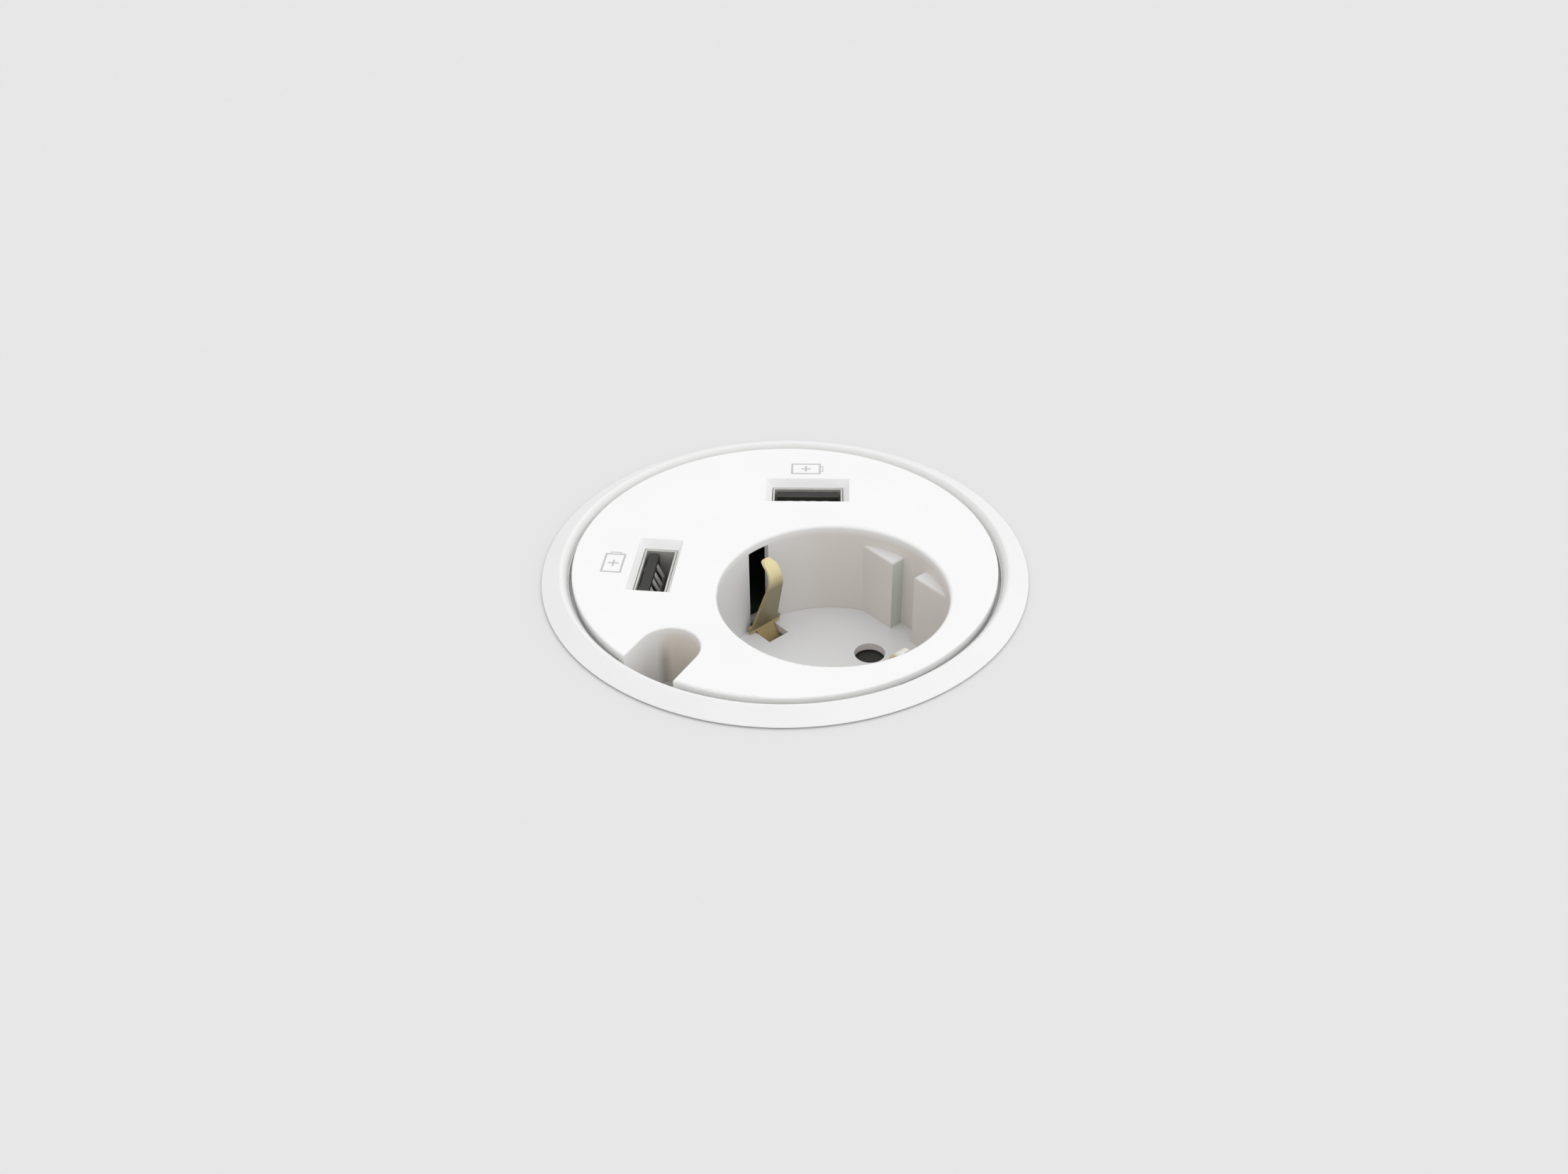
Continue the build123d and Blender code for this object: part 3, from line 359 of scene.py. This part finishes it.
def make_materials():
    """One material for each slot of the record, and one for the contacts in the charging ports."""
    return {
        "collar_plastic": collar_plastic(
            "collar_white",
            colour=(0.87, 0.87, 0.87),
            # painted shade on the slope inside the crest
            lip_shade=(0.80, 0.80, 0.79),
            roughness=0.36,
        ),
        "plate_plastic": plate_plastic(
            "plate_white",
            colour=(0.92, 0.92, 0.92),
            # painted shade on the recess wall, cool beside the rear clip and warm elsewhere, and on faces
            # that look up below the surface
            cool_recess_shade=(0.78, 0.785, 0.787),
            warm_recess_shade=(0.765, 0.715, 0.675),
            shade_facing_up=(0.78, 0.78, 0.78),
            # painted shade on the flanks of the plug guides
            guide_flank_shade=(0.63, 0.665, 0.615),
            # painted shade in the cable notch, with a streak of painted shadow
            notch={"warm_shade": (0.83, 0.775, 0.70), "cool_shade": (0.90, 0.90, 0.895), "shadow_streak": (0.58, 0.55, 0.49)},
            # painted shade on the side of the plate's rim
            side=(0.88, 0.87, 0.855),
            roughness=0.38,
        ),
        "floor_plastic": floor_plastic(
            "floor_white",
            colour=(0.775, 0.78, 0.78),
            # painted light on the upright edges of the holes
            lit_edge_colour=(0.95, 0.90, 0.87),
            roughness=0.36,
        ),
        "housing_plastic": moulded_plastic(
            "housing_white",
            colour=(0.82, 0.82, 0.81),
            roughness=0.5,
            **COARSE_GRAIN,
        ),
        "nut_plastic": moulded_plastic("nut_white", (0.80, 0.80, 0.79), roughness=0.5, **COARSE_GRAIN),
        "dark_plastic": moulded_plastic("carrier_dark", (0.030, 0.030, 0.026), roughness=0.5, mottle=0.006),
        "gasket_rubber": moulded_plastic("gasket_black", (0.03, 0.03, 0.03), roughness=0.75, mottle=0.008),
        "choke_black": moulded_plastic("choke_black", (0.03, 0.03, 0.03), roughness=0.6, mottle=0.008),
        "chip_black": moulded_plastic("chip_black", (0.025, 0.025, 0.028), roughness=0.55, mottle=0.006),
        "ferrite": moulded_plastic(
            "ferrite_grey",
            colour=(0.05, 0.05, 0.055),
            roughness=0.6,
            mottle=0.02,
            grain=900,
            depth=0.00004,
        ),
        "winding_tape": moulded_plastic("winding_yellow", (0.62, 0.42, 0.06), roughness=0.35, mottle=0.03),
        "can_aluminium": moulded_plastic("can_sleeve", (0.03, 0.04, 0.12), roughness=0.3, mottle=0.01),
        "fuse_glass": moulded_plastic("fuse_white", (0.72, 0.72, 0.70), roughness=0.25, mottle=0.02),
        "board_laminate": moulded_plastic(
            "board_green",
            colour=(0.012, 0.025, 0.014),
            roughness=0.5,
            mottle=0.004,
            grain=900,
            depth=0.00002,
        ),
        "live_brown": moulded_plastic("wire_brown", (0.12, 0.05, 0.025), roughness=0.4, mottle=0.01),
        "neutral_blue": moulded_plastic("wire_blue", (0.03, 0.10, 0.42), roughness=0.4, mottle=0.01),
        "earth_green_yellow": moulded_plastic(
            "wire_green_yellow",
            colour=(0.30, 0.42, 0.04),
            roughness=0.4,
            mottle=0.02,
        ),
        "clip_brass": spring_brass(
            "clip_brass",
            # painted shade where the clips face down, a painted highlight on the crown and a painted glint
            # on the front clip's top
            underside_shade=(0.28, 0.25, 0.15),
            level=(0.52, 0.40, 0.19),
            crown_highlight=(0.84, 0.74, 0.43),
            glint=(0.97, 0.95, 0.90),
            roughness=0.42,
            metallic=0.35,
        ),
        "contact_brass": rolled_metal("contact_brass", (0.62, 0.50, 0.26), roughness=0.32),
        "screw_steel": rolled_metal("screw_zinc", (0.62, 0.63, 0.66), roughness=0.3, stretch=(1, 1, 1)),
        "spring_steel": rolled_metal("spring_steel", (0.55, 0.55, 0.57), roughness=0.25, stretch=(1, 1, 1)),
        "shell_steel": rolled_metal("shell_nickel", (0.72, 0.71, 0.67), roughness=0.45, metallic=0.5),
        "port_contacts": rolled_metal("contact_nickel", (0.80, 0.79, 0.76), roughness=0.35, metallic=0.5),
    }


def dress_nodes(materials):
    """Gives every CAD node its material and smooth shading with crisp edges."""
    slots = {part["node"]: part["material_slot"] for part in frame["record"]["subparts"]}
    for side in ("left", "right"):
        slots["usb_contacts_" + side] = "port_contacts"
    for name, node in frame["nodes"].items():
        node.data.materials.clear()
        node.data.materials.append(materials[slots[name]])
        node.data.shade_smooth()
        node.data.set_sharp_from_angle(angle=SMOOTH_ANGLE)


def bar(build, place, centre, size):
    """Adds one thin printed bar to a mesh, lying just above the plate."""
    corners = []
    for z in (PLATE_TOP - INK_HEIGHT, PLATE_TOP + INK_HEIGHT):
        for x, y in ((-1, -1), (1, -1), (1, 1), (-1, 1)):
            spot = Vector((centre[0] + x * size[0] / 2, centre[1] + y * size[1] / 2, 0))
            corners.append(build.verts.new(place @ spot + Vector((0, 0, z))))
    for face in ((3, 2, 1, 0), (4, 5, 6, 7), (0, 1, 5, 4), (1, 2, 6, 5), (2, 3, 7, 6), (3, 0, 4, 7)):
        build.faces.new([corners[i] for i in face])


def charge_mark(name, x, y, turn, ink):
    """A printed battery outline with a plus in it and its pole towards its own +X."""
    place = Matrix.Translation((x, y, 0)) @ Matrix.Rotation(math.radians(turn), 4, "Z")
    build = bmesh.new()
    long_side = MARK_LENGTH / 2 - INK_LINE / 2
    short_side = MARK_WIDTH / 2 - INK_LINE / 2
    for side in (-1, 1):
        bar(build, place, (0, side * short_side), (MARK_LENGTH, INK_LINE))
        bar(build, place, (side * long_side, 0), (INK_LINE, MARK_WIDTH - 2 * INK_LINE))
    nub_end = MARK_LENGTH / 2 + MARK_NUB_LENGTH - MARK_NUB_LINE / 2
    nub_side = MARK_NUB_WIDTH / 2 - MARK_NUB_LINE / 2
    nub_flank = MARK_NUB_LENGTH - MARK_NUB_LINE
    bar(build, place, (nub_end, 0), (MARK_NUB_LINE, MARK_NUB_WIDTH))
    for side in (-1, 1):
        bar(build, place, (MARK_LENGTH / 2 + nub_flank / 2, side * nub_side), (nub_flank, MARK_NUB_LINE))
    bar(build, place, (0, 0), (MARK_PLUS, INK_LINE))
    for side in (-1, 1):
        bar(build, place, (0, side * (MARK_PLUS + INK_LINE) / 4), (INK_LINE, (MARK_PLUS - INK_LINE) / 2))
    mesh = bpy.data.meshes.new(name)
    build.to_mesh(mesh)
    build.free()
    mesh.materials.append(ink)
    mark = bpy.data.objects.new(name, mesh)
    bpy.context.scene.collection.objects.link(mark)
    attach(mark, "insert")


def make_marks():
    ink = moulded_plastic("print_grey", (0.55, 0.55, 0.55), roughness=0.6, mottle=0.02)
    for name, (x, y, turn) in MARKS.items():
        charge_mark(name, x, y, turn, ink)


def make_camera():
    data = bpy.data.cameras.new("camera")
    data.lens = CAMERA_LENS_MM
    data.sensor_width = CAMERA_SENSOR_MM
    data.clip_start, data.clip_end = CAMERA_CLIP
    camera = bpy.data.objects.new("camera", data)
    bpy.context.scene.collection.objects.link(camera)
    camera.rotation_mode = "QUATERNION"
    camera.location = CAMERA_PLACE
    aim = (CAMERA_TARGET - CAMERA_PLACE).to_track_quat("-Z", "Y")
    camera.rotation_quaternion = aim @ Matrix.Rotation(CAMERA_ROLL, 4, "Z").to_quaternion()
    bpy.context.scene.camera = camera


def make_desk():
    """A thin round piece of desk surface with the hole that the collar stands in."""
    mesh = bpy.data.meshes.new("desk")
    build = bmesh.new()
    angles = [2 * math.pi * step / DESK_STEPS for step in range(DESK_STEPS)]
    outline = (
        (DESK_HOLE_RADIUS, 0),
        (DESK_RADIUS, 0),
        (DESK_RADIUS, -DESK_SHEET),
        (DESK_HOLE_RADIUS, -DESK_SHEET),
    )
    rings = []
    for radius, z in outline:
        rings.append([build.verts.new((radius * math.cos(a), radius * math.sin(a), z)) for a in angles])
    for first, second in zip(rings, rings[1:] + rings[:1]):
        for step in range(DESK_STEPS):
            after = (step + 1) % DESK_STEPS
            build.faces.new((first[step], second[step], second[after], first[after]))
    bmesh.ops.recalc_face_normals(build, faces=build.faces)
    build.to_mesh(mesh)
    build.free()
    desk = bpy.data.objects.new("desk", mesh)
    bpy.context.scene.collection.objects.link(desk)
    material, _, _, shader = new_material("desk_grey")
    shader.inputs["Base Color"].default_value = (DESK_TONE, DESK_TONE, DESK_TONE, 1)
    shader.inputs["Roughness"].default_value = DESK_ROUGHNESS
    shader.inputs["Specular IOR Level"].default_value = 0.0
    mesh.materials.append(material)


def make_world():
    """A soft sky that is brighter overhead and shows as the pale background colour."""
    world = bpy.data.worlds.new("studio")
    bpy.context.scene.world = world
    world.use_nodes = True
    nodes, links = world.node_tree.nodes, world.node_tree.links
    nodes.clear()
    overhead = combine(nodes, links, "MAXIMUM", along(nodes, links, "Generated", SKY_LEAN), 0.0)
    bright = combine(nodes, links, "POWER", overhead, SKY_POWER)
    light = nodes.new("ShaderNodeBackground")
    light.inputs["Color"].default_value = (1, 1, 1, 1)
    links.new(range_node(nodes, links, bright, SKY_LOW, SKY_HIGH), light.inputs["Strength"])
    shown = nodes.new("ShaderNodeBackground")
    shown.inputs["Color"].default_value = (BACKGROUND, BACKGROUND, BACKGROUND, 1)
    path = nodes.new("ShaderNodeLightPath")
    seen = path.outputs["Is Camera Ray"]
    for ray in ("Is Glossy Ray", "Is Transmission Ray"):
        seen = combine(nodes, links, "MAXIMUM", seen, path.outputs[ray])
    mix = nodes.new("ShaderNodeMixShader")
    out = nodes.new("ShaderNodeOutputWorld")
    links.new(seen, mix.inputs["Fac"])
    links.new(light.outputs["Background"], mix.inputs[1])
    links.new(shown.outputs["Background"], mix.inputs[2])
    links.new(mix.outputs["Shader"], out.inputs["Surface"])


make_camera()
make_world()
make_desk()
dress_nodes(make_materials())
make_marks()
bpy.context.scene.view_settings.view_transform = "Standard"
